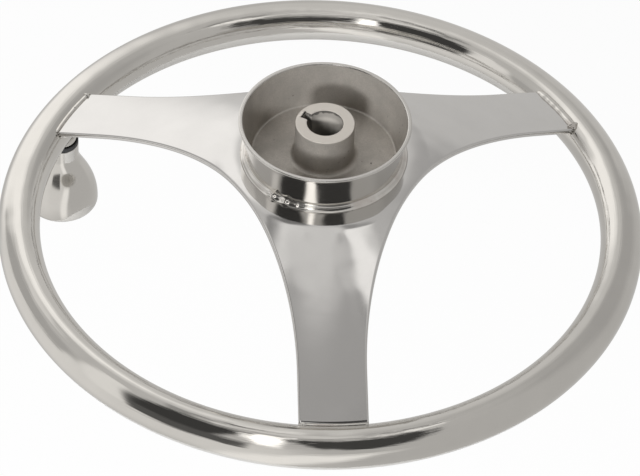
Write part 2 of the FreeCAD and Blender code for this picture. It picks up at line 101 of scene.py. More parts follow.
class WheelSizes(bpy.types.PropertyGroup):
    """Sizes of the rim, the spoke plate and the centre cap."""
    rim_diameter: length("Rim diameter", "Over the tube", 0.3429)
    tube_diameter: length("Tube diameter", "Of the rim's tube", 0.0222)
    rim_dish: length("Dish", "From the plate's flat centre down to the tube's middle", 0.0505)
    plate_thickness: length("Plate thickness", "Of the pressed spoke plate", 0.003)
    plate_bend: length("Plate bend", "Radius of the bend round the flat centre", 0.030)
    plate_flat: length("Plate flat", "Radius of the flat centre", 0.0448)
    plate_edge: length("Plate edge", "Rounding along the plate's edges", 0.001)
    spoke_width: length("Spoke width", "At the rim", 0.0356)
    spoke_flare: length("Spoke flare", "Radius of the arcs that join the spokes", 0.200)
    first_spoke: angle("First spoke", "Direction of the first spoke", 30.0)
    spoke_meets_tube: angle("Spoke meets tube", "Angle on the tube's section, up from outward", 128.0)
    cap_depth: length("Centre cap depth", "How far the front dome stands out", 0.018)
    cap_wall: length("Centre cap wall", "Thickness of the spun dome", 0.0012)


class HubSizes(bpy.types.PropertyGroup):
    """Sizes of the hub cup and its weld."""
    lip_diameter: length("Lip diameter", "Over the cup's lip", 0.0904)
    lip_height: length("Lip height", "Above the plate", 0.024)
    lip_wall: length("Lip wall", "Thickness at the lip", 0.0021)
    foot_diameter: length("Foot diameter", "Of the cup where it stands on the plate", 0.082)
    wall_hollow: length("Wall hollow", "How far the outer wall bows inwards", 0.0008)
    floor_diameter: length("Floor diameter", "Inside the cup at its floor", 0.0764)
    floor_drop: length("Floor drop", "Of the cup's floor below the plate's face", 0.0003)
    floor_corner: length("Floor corner", "Rounding between the floor and the wall", 0.0012)
    boss_diameter: length("Boss diameter", "Of the bored boss", 0.031)
    boss_drop: length("Boss below lip", "Of the boss's top below the lip", 0.0015)
    bore_diameter: length("Bore mouth", "Diameter of the taper at the boss's top", 0.01905)
    key_width: length("Keyway width", "Of the slot in the bore", 0.00476)
    key_depth: length("Keyway depth", "From the bore's mouth to the slot's floor", 0.0031)
    weld_leg: length("Hub weld leg", "Of the bead round the cup's foot", 0.0032)
    weld_lump: length("Weld lump", "How far the bead's starts and stops stand out", 0.0009)


class KnobSizes(bpy.types.PropertyGroup):
    """Sizes of the spinning knob and the boss that it hangs on."""
    head_diameter: length("Head diameter", "Of the bell's wide end", 0.0396)
    neck_diameter: length("Neck diameter", "Of the bell's neck", 0.0192)
    top: level("Neck top", "Height of the bell's top", -0.067)
    knob_length: length("Knob length", "Of the bell", 0.0445)
    boss_diameter: length("Boss diameter", "Of the turned stub under the rim", 0.0171)
    boss_face: level("Boss face", "Height of the stub's lower face", -0.0657)
    end_cap_diameter: length("End cap diameter", "Of the plug in the bell's end", 0.028)
    end_cap_depth: length("End cap depth", "Of the plug's seat above the bell's end", 0.004)
    seal_height: length("Seal height", "Of the rubber ring round the stub", 0.0028)


class Finishes(bpy.types.PropertyGroup):
    """Colours and gloss of the metals and the rubber."""
    steel: colour("Polished steel", "Reflection colour of the polished stainless steel", (0.66, 0.643, 0.612))
    plate: colour("Plate steel", "Reflection colour of the polished plate", (0.66, 0.65, 0.637))
    cast: colour("Cast steel", "Colour of the cup's blasted inside", (0.5, 0.47, 0.43))
    cast_metal: share("Cast metal share", "How much of the blasted skin mirrors rather than scatters", 0.7)
    turned: colour("Turned steel", "Reflection colour of the machined boss and lip", (0.62, 0.605, 0.58))
    rubber: colour("Rubber", "Of the seal and the rings", (0.018, 0.018, 0.019))
    polish: share("Polish roughness", "Of the polished steel", 0.07)
    casting: share("Cast roughness", "Of the cup's inside", 0.46)


class Studio(bpy.types.PropertyGroup):
    """The floor, the tent and the camera."""
    floor_drop: length("Floor drop", "Of the floor below the knob's end", 0.25)
    tent: number("Tent", "Brightness that the metal reflects", 1.0, min=0.0)
    tent_radius: length("Tent radius", "Of the round tent that the metal mirrors", 0.6)
    tent_height: length("Tent height", "Of the tent's middle above the plate", 0.2)
    camera_turn: angle("Camera turn", "Round the shaft axis from straight ahead", -4.2)
    camera_rise: angle("Camera rise", "Above the rim's plane", 45.31)
    camera_roll: angle("Camera roll", "Anticlockwise turn of the camera", 2.58)
    camera_distance: length("Camera distance", "From the middle of the rim's plane", 2.0482)
    camera_shift: length("Camera drop", "Of the camera below its line to the rim's middle", 0.00853)
    focal: number("Focal length", "Of the lens, in mm", 216.25, min=1.0)


# Surfaces

def around(radius, turn, height):
    """Points round the shaft's axis: x and y are the radius times the cosine and the sine of the turn."""
    return np.stack(np.broadcast_arrays(radius * np.cos(turn), radius * np.sin(turn), height), -1)


def turned(profile, steps=192, centre=(0.0, 0.0)):
    """A profile of radius and height turned about an upright line."""
    turn = np.linspace(0.0, FULL_TURN, steps, endpoint=False)
    return around(profile[:, :1], turn, profile[:, 1:]) + (*centre, 0.0)


def rounded(corners, steps=6, support=0.0002):
    """A profile through corners given as radius, height and rounding.

    Each rounding is the circular arc that touches both runs: its points are the middle plus the sine
    blend of the two end spokes. A long run gets a point close to each arc, so that shading stays flat.
    """
    points = []
    for k, corner in enumerate(corners):
        here = np.array(corner[:2])
        if len(corner) < 3:
            points.append(here)
            continue
        before = np.array(corners[k - 1][:2]) - here
        after = np.array(corners[(k + 1) % len(corners)][:2]) - here
        runs = np.hypot(*before), np.hypot(*after)
        before, after = before / runs[0], after / runs[1]
        half = acos(np.clip(before @ after, -1.0, 1.0)) / 2
        setback = corner[2] / tan(half)
        middle = here + (before + after) / np.hypot(*(before + after)) * corner[2] / sin(half)
        start, end = here + before * setback, here + after * setback
        if runs[0] > setback + 4 * support:
            points.append(start + before * support)
        sweep = pi - 2 * half
        t = np.linspace(0.0, 1.0, steps)[:, None]
        spokes = np.sin((1 - t) * sweep) * (start - middle) + np.sin(t * sweep) * (end - middle)
        points.extend(middle + spokes / sin(sweep))
        if runs[1] > setback + 4 * support:
            points.append(end + after * support)
    return np.array(points)


def bowed(start, end, rise, steps):
    """A shallow curve from start to end: the straight line plus a parabola that rises to its left."""
    start, end = np.array(start), np.array(end)
    t = np.linspace(0.0, 1.0, steps)[:, None]
    left = np.array([start[1] - end[1], end[0] - start[0]])
    return start + t * (end - start) + 4 * t * (1 - t) * rise * left / np.hypot(*left)


def bezier(poles, steps):
    """The cubic through its first and last pole, pulled by the two between: the usual sum of four weights."""
    t = np.linspace(0.0, 1.0, steps)[:, None]
    weights = np.hstack([(1 - t) ** 3, 3 * t * (1 - t) ** 2, 3 * t * t * (1 - t), t ** 3])
    return weights @ np.array(poles)


def dome_profile(radius, depth, base, steps):
    """A spherical cap below a flat base: height falls with the root of the sphere's radius less the distance."""
    sphere = (radius ** 2 + depth ** 2) / (2 * depth)
    distance = radius * np.sin(np.linspace(0.0, pi / 2, steps))
    return np.stack([distance, base - depth + sphere - np.sqrt(sphere ** 2 - distance ** 2)], -1)


def lobe(s, start, end):
    """A parabola that rises from 0 to 1 and back between start and end, and is 0 outside them."""
    t = np.clip((s - start) / (end - start), 0.0, 1.0)
    return 4 * t * (1 - t)


def soft_noise(turn, waves, seed):
    """A smooth, repeatable wobble of about -1 to 1 round a full turn: sines with seeded sizes and phases."""
    draw = np.random.default_rng(seed)
    counts = np.arange(1, waves + 1)
    sizes = draw.uniform(0.3, 1.0, waves) / np.sqrt(counts)
    phases = draw.uniform(0.0, FULL_TURN, waves)
    total = (sizes * np.sin(np.asarray(turn)[..., None] * counts + phases)).sum(-1)
    return total / sizes.sum() * 2


def grid_quads(rows, columns, wrap_rows, wrap_columns):
    """Quads over a grid of points. A wrapped direction joins its last line of points to its first."""
    i = np.arange(rows if wrap_rows else rows - 1)[:, None]
    j = np.arange(columns if wrap_columns else columns - 1)[None, :]
    after_i, after_j = (i + 1) % rows, (j + 1) % columns
    corners = [i * columns + j, after_i * columns + j, after_i * columns + after_j, i * columns + after_j]
    return np.stack(corners, -1).reshape(-1, 4)


def link(name, data):
    """A new object in the scene."""
    made = bpy.data.objects.new(name, data)
    bpy.context.scene.collection.objects.link(made)
    return made


def make_piece(name, patches, finish, node, body="wheel"):
    """One closed, smooth mesh from grids of points, which rides on its body in place of the node."""
    points, quads, start = [], [], 0
    for grid, wrap_rows, wrap_columns in patches:
        points.append(grid.reshape(-1, 3))
        quads.append(grid_quads(*grid.shape[:2], wrap_rows, wrap_columns) + start)
        start += len(points[-1])
    mesh = bpy.data.meshes.new(name)
    mesh.from_pydata(np.concatenate(points).tolist(), [], np.concatenate(quads).tolist())
    merged = bmesh.new()
    merged.from_mesh(mesh)
    bmesh.ops.remove_doubles(merged, verts=merged.verts, dist=1e-6)
    bmesh.ops.recalc_face_normals(merged, faces=merged.faces)
    if any(not edge.is_manifold for edge in merged.edges):
        raise ValueError(name + " isn't closed")
    merged.to_mesh(mesh)
    merged.free()
    mesh.polygons.foreach_set("use_smooth", np.ones(len(mesh.polygons), bool))
    mesh.materials.append(material(finish))
    piece = link(name, mesh)
    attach(piece, body)
    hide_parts(node)


# Places on the dished plate

def rim_section(sizes):
    """The radius of the rim's tube, and the radius of the ring that the tube's middle follows."""
    tube = sizes.tube_diameter / 2
    return tube, sizes.rim_diameter / 2 - tube


def plate_slope(sizes):
    """The fall of the spokes: the tangent from the meeting point on the tube to the bend's circle."""
    tube, ring = rim_section(sizes)
    across = ring + tube * cos(sizes.spoke_meets_tube) - sizes.plate_flat
    down = -sizes.rim_dish + tube * sin(sizes.spoke_meets_tube) + sizes.plate_bend
    return atan2(across, down) - acos(sizes.plate_bend / hypot(across, down))


def plate_height(sizes, radius, depth):
    """Height of the plate's face at a depth: level, then the bend's circle, then a straight cone."""
    slope = plate_slope(sizes)
    bend = sizes.plate_bend - depth
    out = np.clip(radius - sizes.plate_flat, 0.0, bend * sin(slope))
    beyond = np.maximum(radius - sizes.plate_flat - bend * sin(slope), 0.0)
    return -sizes.plate_bend + np.sqrt(bend ** 2 - out ** 2) - beyond * tan(slope)


def plate_end(sizes, depth):
    """Radius at which the plate's face at a depth runs into the tube, where the cone's line meets the circle."""
    slope = plate_slope(sizes)
    tube, ring = rim_section(sizes)
    bend = sizes.plate_bend - depth
    start = sizes.plate_flat + bend * sin(slope)
    out, down = ring - start, -sizes.plate_bend + bend * cos(slope) + sizes.rim_dish
    off = out * sin(slope) - down * cos(slope)
    run = out * cos(slope) + down * sin(slope) - sqrt(tube ** 2 - off ** 2)
    return start + run * cos(slope)


def half_spread(sizes, radius, inset):
    """Half the angle that a spoke spans at a radius, by the cosine rule on the flare's circle, then straight."""
    half = sizes.spoke_width / 2
    flare = sizes.spoke_flare + inset
    out = (half + sizes.spoke_flare) / sin(HALF_SECTOR)
    cosine = (radius ** 2 + out ** 2 - flare ** 2) / (2 * radius * out)
    flared = HALF_SECTOR - np.arccos(np.clip(cosine, -1.0, 1.0))
    straight = np.arcsin(np.clip((half - inset) / radius, -1.0, 1.0))
    tangent = np.hypot((half + sizes.spoke_flare) / tan(HALF_SECTOR), half - inset)
    return np.where(radius < tangent, flared, straight)


def crotch(sizes, inset):
    """Radius at which two spokes' edges meet, for an edge that is set in."""
    return (sizes.spoke_width / 2 + sizes.spoke_flare) / sin(HALF_SECTOR) - sizes.spoke_flare - inset


def plate_patches(sizes, hub):
    """The plate's grids: a disc and three spokes above and below, rounded edges, the hub's hole and the ends.

    Rows run out at even steps of the root of the distance past the crotch, columns across at even shares
    of the spoke's spread, and the edge follows a half-round over the thickness.
    """
    edge, thick = sizes.plate_edge, sizes.plate_thickness
    slanted_from = 0.135
    round_in = np.linspace(0.0, pi / 2, 6)
    inset = edge * (1 - np.concatenate([np.sin(round_in), np.sin(round_in[::-1])]))
    drop = edge * (1 - np.cos(round_in))
    over = np.concatenate([drop, thick - drop[::-1]])
    t = np.linspace(0.0, 1.0, 64)[:, None]
    last = plate_end(sizes, 0.0) + (plate_end(sizes, thick) - plate_end(sizes, 0.0)) * over / thick
    near = crotch(sizes, inset)
    rows = np.vstack([near + (slanted_from - near) * t ** 2,
                      slanted_from + (last - slanted_from) * np.linspace(0.0, 1.0, 9)[1:, None]])
    spread = half_spread(sizes, rows, inset)
    spread[0] = HALF_SECTOR
    upper, lower = plate_height(sizes, rows, 0.0), plate_height(sizes, rows, thick)
    heights = upper + (lower - upper) * over / thick
    shares = np.concatenate([[-1.0, -0.985], np.linspace(-0.95, 0.95, 43), [0.985, 1.0]])
    hole = hub.foot_diameter / 2
    inner = np.linspace(hole, crotch(sizes, edge), 22)
    patches = []
    for k in range(3):
        middle = sizes.first_spoke + k * FULL_TURN / 3
        for side, depth in ((0, 0.0), (-1, thick)):
            radius = np.concatenate([inner[:-1], rows[:, side]])[:, None]
            reach = np.concatenate([np.full(len(inner) - 1, HALF_SECTOR), spread[:, side]])[:, None]
            patches.append(around(radius, middle + reach * shares, plate_height(sizes, radius, depth)))
        for side in (-1, 1):
            patches.append(around(rows, middle + side * spread, heights))
        patches.append(around(rows[-1][:, None], middle + spread[-1][:, None] * shares, heights[-1][:, None]))
        patches.append(around(np.full((2, 1), hole), middle + HALF_SECTOR * shares, np.array([[0.0], [-thick]])))
    return [(patch, False, False) for patch in patches]


# Hub and welds

def bore_reach(hub, turn, height):
    """Distance from the axis to the bore's wall: the taper, or the key's slot where that reaches further."""
    mouth, radius_per_drop, land = hub.bore_diameter / 2, 1 / 24, 0.0015
    top = hub.lip_height - hub.boss_drop
    taper = mouth - np.minimum(top - height, top - land) * radius_per_drop
    away = turn - KEY_TURN
    floor = (mouth + hub.key_depth) / np.maximum(np.cos(away), 1e-6)
    wall = hub.key_width / 2 / np.maximum(np.abs(np.sin(away)), 1e-6)
    slot = np.where(np.cos(away) > 0, np.minimum(floor, wall), 0.0)
    return np.maximum(taper, slot)


def hub_grid(hub):
    """The casting as one closed loop of profile points turned about the axis, with the keyed bore by direction."""
    foot, boss = hub.foot_diameter / 2, hub.boss_diameter / 2
    floor, lip = -hub.floor_drop, hub.lip_diameter / 2
    top, lip_rounding = hub.lip_height - hub.boss_drop, 0.0006
    # The hidden front: the nut's seat inside a collar, which has a groove for its ring
    seat_radius, inside, collar, groove = 0.014, 0.023, 0.027, 0.0253
    under, seat, end = -0.0045, -0.0065, -0.0117
    near, far = end + 0.0013, end + 0.0039
    front = rounded([
        (seat_radius, seat), (inside, seat, 0.0003), (inside, end, 0.0003), (collar, end, 0.0003),
        (collar, near, 0.0001), (groove, near, 0.0001), (groove, far, 0.0001), (collar, far, 0.0001),
        (collar, under, 0.0002), (foot, under, 0.0001), (foot, 0.0)])
    wall = bowed((foot, 0.0), (lip, hub.lip_height - lip_rounding), hub.wall_hollow, 18)
    back = rounded([
        (lip, hub.lip_height / 2), (lip, hub.lip_height, lip_rounding),
        (lip - hub.lip_wall, hub.lip_height, lip_rounding),
        (hub.floor_diameter / 2, floor, hub.floor_corner), (boss, floor, 0.003), (boss, top, 0.0005),
        (boss - 0.003, top)], steps=8)[1:]
    profile = np.concatenate([front[:-1], wall[:-1], back])
    corners = [asin(hub.key_width / hub.bore_diameter),
               atan2(hub.key_width / 2, hub.bore_diameter / 2 + hub.key_depth)]
    marks = [KEY_TURN + side * (corner + nudge)
             for side in (-1, 1) for corner in corners for nudge in (-0.004, 0.0, 0.004)]
    turn = np.unique(np.concatenate([np.linspace(0.0, FULL_TURN, 224, endpoint=False), marks]))
    height = np.concatenate([[top, top, top - 0.00009, top - 0.0003, top - 0.0006],
                             np.linspace(top - 0.003, seat + 0.0003, 10), [seat + 0.0001, seat, seat]])[:, None]
    flare = np.concatenate([[0.0006, 0.0003, 0.00009], np.zeros(14), [0.0004]])[:, None]
    radius = np.concatenate([np.repeat(profile[:, :1], len(turn), 1), bore_reach(hub, turn, height) + flare])
    return around(radius, turn, np.concatenate([profile[:, 1:], height]))


def hub_bead_grid(hub):
    """The bead round the cup: a smooth crown, a crease, a thin second ridge on the wall, and lumps.

    Each lump is a bell curve along the turn, given by its direction in degrees, size and width.
    """
    foot, leg = hub.foot_diameter / 2, hub.weld_leg * 0.94
    turn = np.linspace(0.0, FULL_TURN, 720, endpoint=False)
    s = np.concatenate([np.linspace(0.0, 0.7, 14), np.linspace(0.72, 1.0, 8)])[:, None]
    lumps = hub.weld_lump * sum(
        size * np.exp(-((turn - radians(where)) / wide) ** 2)
        for where, size, wide in ((229.0, 1.0, 0.045), (239.5, 0.75, 0.04), (248.0, 0.2, 0.02), (70.0, 0.4, 0.03)))
    crease, first, second = 0.71, 0.0004 + 0.00006 * soft_noise(turn, 26, 7), 0.00016
    crown = first * lobe(s, 0.0, crease) + second * lobe(s, crease, 1.0) + lumps * lobe(s, 0.05, 0.95)
    toe = leg * (1 + 0.03 * soft_noise(turn, 30, 11))
    radius = np.vstack([foot + toe * (1 - s) + 0.0003 * s + crown * 0.7, np.full((2, len(turn)), foot)])
    height = np.vstack([leg * s + crown * 0.7, np.full((1, len(turn)), leg * 0.95), np.zeros((1, len(turn)))])
    return around(radius, turn, height)


def spoke_bead_grid(sizes, depth, side, middle, leg, blob_size, seed):
    """A round bead along a spoke's end, from a toe on the plate over a parabola's crown to its top on the tube.

    Its leg wavers along the turn and swells to a blob near one end. The section shrinks to the corner at both
    ends by a tenth-power curve.
    """
    tube, ring = rim_section(sizes)
    tube, sunk = tube + 0.00002, -sizes.rim_dish
    slope = plate_slope(sizes)
    corner = np.array([plate_end(sizes, depth), 0.0])
    corner[1] = plate_height(sizes, corner[0], depth)
    half = asin(sizes.spoke_width / 2 / corner[0])
    along = np.linspace(-1.0, 1.0, 241)
    swell = np.maximum(1 - np.abs(along) ** 10, 0.0) ** 0.5
    blob = np.exp(-((along * side + 0.86) / 0.055) ** 4)
    reach = leg * (1 + 0.07 * soft_noise(along * 2.0, 14, seed) + blob_size * blob)
    s = np.linspace(0.0, 1.0, 22)[:, None]
    toe = corner[:, None] + 1.2 * reach * np.array([[-cos(slope)], [sin(slope)]])
    rise = atan2(corner[1] - sunk, corner[0] - ring) - side * reach / tube
    top = np.stack([ring + tube * np.cos(rise), sunk + tube * np.sin(rise)])
    chord = top - toe
    left = side * np.stack([-chord[1], chord[0]]) / np.hypot(*chord)
    crown = (0.4 + 0.1 * blob) * reach * lobe(s, 0.0, 1.0)
    outer = np.moveaxis(toe[:, None] + s * chord[:, None] + crown * left[:, None], 0, -1)
    inner = np.repeat((corner + 0.05 * (corner - (toe + top).mean(-1) / 2))[None, None], len(along), 1)
    loop = corner + (np.concatenate([outer, inner]) - corner) * swell[:, None]
    return around(loop[..., 0], middle + along * half, loop[..., 1])


# Knob

def knob_axis(sizes):
    """The knob hangs under the tube at the end of the spoke after the first."""
    ring = rim_section(sizes)[1]
    turn = sizes.first_spoke + FULL_TURN / 3
    return ring * cos(turn), ring * sin(turn)


def bell_grid(sizes, knob):
    """The bell's section turned about its axis: straight neck, one sweeping flare, a rounded end, the bored inside."""
    neck, head = knob.neck_diameter / 2, knob.head_diameter / 2
    top, end = knob.top, knob.top - knob.knob_length
    neck_end, head_top, seat = top - 0.0075, end + 0.0036, end + knob.end_cap_depth
    plug = knob.end_cap_diameter / 2 + 0.00002
    pocket, pocket_top, bore = 0.01102, -0.086, 0.0065
    flare = bezier([(neck, neck_end), (neck, neck_end - 0.008), (head, head_top + 0.0175), (head, head_top)], 40)
    rest = rounded([(head, head_top), (head, end, 0.003), (plug, end, 0.0002), (plug, seat, 0.0002),
                    (pocket, seat, 0.0002), (pocket, pocket_top, 0.0003), (bore, pocket_top, 0.0003),
                    (bore, top, 0.0003), (neck, top, 0.0003), (neck, neck_end)], steps=10)
    return turned(np.concatenate([flare[:-1], rest[:-1]]), 160, knob_axis(sizes))


def stub_grid(sizes, knob):
    """The stub under the rim: a turned foot whose upper edge follows the tube's underside."""
    tube, ring = rim_section(sizes)
    radius, straight, sunk = knob.boss_diameter / 2, knob.boss_face + 0.002, 0.0003
    foot = rounded([(0.0, knob.boss_face), (radius, knob.boss_face, 0.0004), (radius, straight)])
    points = turned(np.concatenate([foot, foot[-1:], [[0.0, straight]]]), 128, knob_axis(sizes))
    distance = np.hypot(points[-2, :, 0], points[-2, :, 1])
    points[-2, :, 2] = -sizes.rim_dish - np.sqrt(tube ** 2 - (distance - ring) ** 2) + sunk
    points[-1, :, 2] = -sizes.rim_dish - tube + sunk
    return points


def seal_grid(sizes, knob):
    """The rubber ring: a flange under the stub's face and a collar round the stub."""
    outer, lip, inner = knob.neck_diameter / 2, knob.boss_diameter / 2 + 0.0003, 0.0058
    top, flange = knob.top + knob.seal_height, knob.top + 0.0007
    section = rounded([(inner, knob.top, 0.0001), (outer, knob.top, 0.0001), (outer, top, 0.0005),
                       (lip, top, 0.0002), (lip, flange, 0.0001), (inner, flange, 0.0001)])
    return turned(section, 128, knob_axis(sizes))


def plug_grid(sizes, knob):
    """The plug in the bell's end: a chamfered disc with a groove for its ring, and a short spigot."""
    end = knob.top - knob.knob_length
    disc, seat, chamfer = knob.end_cap_diameter / 2, end + knob.end_cap_depth, 0.0004
    groove, low, high = disc - 0.00125, end + 0.00105, end + 0.00295
    spigot, hollow, spigot_top = 0.0107, 0.0095, -0.105
    section = rounded([
        (0.0, end), (0.004, end), (disc - chamfer, end, 0.0001), (disc, end + chamfer, 0.0001),
        (disc, low, 0.0001), (groove, low, 0.0001), (groove, high, 0.0001), (disc, high, 0.0001),
        (disc, seat, 0.0002), (spigot, seat, 0.0001), (spigot, spigot_top, 0.0002),
        (hollow, spigot_top, 0.0002), (hollow, seat, 0.0001), (0.0, seat)])
    return turned(section, 128, knob_axis(sizes))


def cap_grid(sizes):
    """The centre cap: an outer and an inner dome joined at the brim, and the skirt that grips the collar."""
    radius, base, wall = sizes.plate_flat - 0.0006, -sizes.plate_thickness, sizes.cap_wall
    skirt, skirt_top, gap = 0.0279, -0.0048, 0.0003
    skirt_outside = skirt + 0.0014
    outer = dome_profile(radius, sizes.cap_depth, base, 40)
    inner = dome_profile(radius - wall, sizes.cap_depth - wall, base, 40)[::-1]
    under = [np.interp(distance, inner[::-1, 0], inner[::-1, 1]) for distance in (skirt_outside, skirt)]
    ring = rounded([(skirt_outside, under[0]), (skirt_outside, skirt_top, 0.0003), (skirt, skirt_top, 0.0003),
                    (skirt, under[1])])
    outside, inside = inner[inner[:, 0] > skirt_outside + gap], inner[inner[:, 0] < skirt - gap]
    return turned(np.concatenate([outer, outside, ring, inside]), 192)


# Material nodes

def feed(node, inputs):
    """Fills a node's inputs: a socket is linked, and anything else is set."""
    for name, value in inputs.items():
        if isinstance(value, bpy.types.NodeSocket):
            node.id_data.links.new(value, node.inputs[name])
        else:
            node.inputs[name].default_value = value


def add(tree, kind, inputs=None, **settings):
    """Adds a node with its settings and inputs."""
    node = tree.nodes.new(kind if kind.startswith("NodeGroup") else "ShaderNode" + kind)
    for name, value in settings.items():
        setattr(node, name, value)
    feed(node, inputs or {})
    return node


def calc(operation, *values):
    """One step of arithmetic on values, of which at least one is a socket."""
    tree = next(value.id_data for value in values if isinstance(value, bpy.types.NodeSocket))
    return add(tree, "Math", dict(enumerate(values)), operation=operation).outputs[0]


def vector(operation, *values):
    """One step of arithmetic on vectors, of which the first is a socket."""
    return add(values[0].id_data, "VectorMath", dict(enumerate(values)), operation=operation).outputs


def remap(value, low, high, to_low=0.0, to_high=1.0):
    return add(value.id_data, "MapRange", {
        "Value": value, "From Min": low, "From Max": high, "To Min": to_low, "To Max": to_high}).outputs["Result"]


def blend(factor, first, second):
    """A mix of two colours."""
    return add(factor.id_data, "Mix", {0: factor, 6: first, 7: second}, data_type="RGBA").outputs[2]


def between(factor, first, second):
    """A mix of two values."""
    return add(factor.id_data, "Mix", {0: factor, 2: first, 3: second}).outputs[0]


def noise(place, scale, detail=3.0, w=None, rough=0.5):
    inputs = {"Vector": place, "Scale": scale, "Detail": detail, "Roughness": rough}
    if w is not None:
        inputs["W"] = w
    return add(place.id_data, "TexNoise", inputs, noise_dimensions="3D" if w is None else "4D").outputs["Fac"]


def effect(name, outputs, **values):
    """An empty group that takes a vector and values. Gives what its input node offers, and its output node."""
    group = bpy.data.node_groups.new(name, "ShaderNodeTree")
    group.interface.new_socket("Vector", in_out="INPUT", socket_type="NodeSocketVector")
    for label, value in values.items():
        group.interface.new_socket(label, in_out="INPUT", socket_type="NodeSocketFloat").default_value = value
    for label in outputs:
        group.interface.new_socket(label, in_out="OUTPUT", socket_type="NodeSocketFloat")
    return add(group, "NodeGroupInput").outputs, add(group, "NodeGroupOutput")


def round_axis(place):
    """A place by its distance from the upright axis, its direction from it and its height."""
    flat = vector("MULTIPLY", place, (1.0, 1.0, 0.0))[0]
    height = add(place.id_data, "SeparateXYZ", {0: place}).outputs["Z"]
    return vector("LENGTH", flat)["Value"], vector("NORMALIZE", flat)[0], height


def make_lathe_marks():
    """Fine lines round an upright axis: noise over the profile's place, held almost constant along the turn."""
    given, out = effect("Lathe marks", ["Marks", "Radius"], Lines=900.0)
    radius, facing, height = round_axis(given["Vector"])
    line = calc("MULTIPLY", calc("MULTIPLY_ADD", height, 1.31, radius), given["Lines"])
    feed(out, {"Marks": noise(facing, 1.6, 4.0, line, 0.7), "Radius": radius})


def make_belt_marks():
    """Polishing marks that run round a bent tube: noise along the ring's turn, almost constant round its section."""
    given, out = effect("Belt marks", ["Marks"], Lines=260.0)
    facing, height = round_axis(given["Vector"])[1:]
    feed(out, {"Marks": noise(facing, given["Lines"], 3.0, calc("MULTIPLY", height, 30.0), 0.6)})


def make_draw_lines():
    """Hair lines drawn along a bent tube: noise over the place in its section, almost constant along the ring."""
    given, out = effect("Draw lines", ["Lines"], Ring=0.16)
    radius, facing, height = round_axis(given["Vector"])
    section = add(out.id_data, "CombineXYZ", {0: calc("SUBTRACT", radius, given["Ring"]), 1: height}).outputs[0]
    along = vector("DOT_PRODUCT", facing, (0.004, 0.003, 0.0))["Value"]
    feed(out, {"Lines": noise(section, 1600.0, 2.0, along, 0.6)})


def make_handling():
    """Wiping and handling: broad soft smudges, and a few hair scratches where stretched cells thin out."""
    given, out = effect("Handling", ["Smudges", "Scratches"])
    place = given["Vector"]
    bent = add(out.id_data, "Mapping", {
        "Vector": place, "Rotation": (0.3, 0.2, 0.7), "Scale": (900.0, 38.0, 300.0)}).outputs[0]
    thin = add(out.id_data, "TexVoronoi", {"Vector": bent, "Scale": 1.0}, feature="DISTANCE_TO_EDGE").outputs[0]
    gate = remap(noise(place, 120.0, 2.0), 0.55, 0.7)
    feed(out, {"Smudges": noise(place, 45.0, 4.0, None, 0.55),
               "Scratches": calc("MULTIPLY", remap(thin, 0.0, 0.03, 1.0, 0.0), gate)})


def make_cast_skin():
    """A blasted casting's skin: fine grain, soft unevenness and sparse pits."""
    given, out = effect("Cast skin", ["Grain", "Cloud", "Pits"])
    place = given["Vector"]
    cells = add(out.id_data, "TexVoronoi", {"Vector": place, "Scale": 330.0}).outputs["Distance"]
    gate = remap(noise(place, 60.0, 2.0), 0.56, 0.66)
    feed(out, {"Grain": noise(place, 1500.0, 3.0, None, 0.7), "Cloud": noise(place, 70.0, 5.0, None, 0.6),
               "Pits": calc("MULTIPLY", remap(cells, 0.08, 0.2, 1.0, 0.0), gate)})


def shared(name, place, **values):
    """The outputs of a shared effect at a place, with its own values."""
    return add(place.id_data, "Group", {"Vector": place, **values}, node_tree=bpy.data.node_groups[name]).outputs


def new_shader(name, **uniform):
    """A new material's one shader, whose uniform numbers are set on its own sockets."""
    made = bpy.data.materials.new(name)
    made.use_nodes = True
    shader = made.node_tree.nodes["Principled BSDF"]
    feed(shader, {label.replace("_", " "): value for label, value in uniform.items()})
    return shader


def object_place(shader):
    return add(shader.id_data, "TexCoord").outputs["Object"]


def centred(place, axis):
    """The place with an upright axis moved to the middle."""
    return add(place.id_data, "Mapping", {"Vector": place, "Location": (-axis[0], -axis[1], 0.0)}).outputs[0]


def relieve(shader, height, distance):
    """Relief on a shader, through a bump of a distance."""
    bump = add(shader.id_data, "Bump", {"Height": height, "Distance": distance, "Strength": 1.0})
    feed(shader, {"Normal": bump.outputs[0]})


def tinted(base, factor):
    return tuple(min(channel * factor, 1.0) for channel in base) + (1.0,)


def polished_steel(name, finishes, base, marks, lines, axis=(0.0, 0.0), roughness=1.0, waves=0.000012,
                   warp=0.0, ripple=1.0, ring=None):
    """Polished stainless steel with faint tool marks, smudges, hair scratches and waviness.

    The warp is a plate's dents near the hub's weld; a ring radius adds hair lines along a bent tube.
    """
    shader = new_shader(name, Metallic=1.0)
    place = object_place(shader)
    tooled = shared(marks, centred(place, axis), Lines=lines)["Marks"]
    handled = shared("Handling", place)
    polish = finishes.polish * roughness
    shine = calc("ADD", remap(tooled, 0.3, 0.7, polish * 0.75, polish * 1.3),
                 remap(handled["Smudges"], 0.45, 0.75, 0.0, polish * 0.8))
    tint = remap(handled["Smudges"], 0.3, 0.75)
    feed(shader, {"Roughness": calc("MULTIPLY_ADD", handled["Scratches"], polish, shine),
                  "Base Color": blend(tint, tinted(base, 1.0), tinted(base, 0.95))})
    relief = calc("MULTIPLY_ADD", tooled, 0.06, calc("MULTIPLY", noise(place, 42.0, 1.0), ripple))
    if ring:
        relief = calc("MULTIPLY_ADD", shared("Draw lines", place, Ring=ring)["Lines"], 5.0, relief)
    if warp:
        near_weld = remap(vector("LENGTH", place)["Value"], 0.048, 0.1, warp, 0.0)
        dents = calc("SUBTRACT", noise(place, 38.0, 1.0), 0.5)
        relief = calc("MULTIPLY_ADD", dents, near_weld, relief)
    relieve(shader, relief, waves)


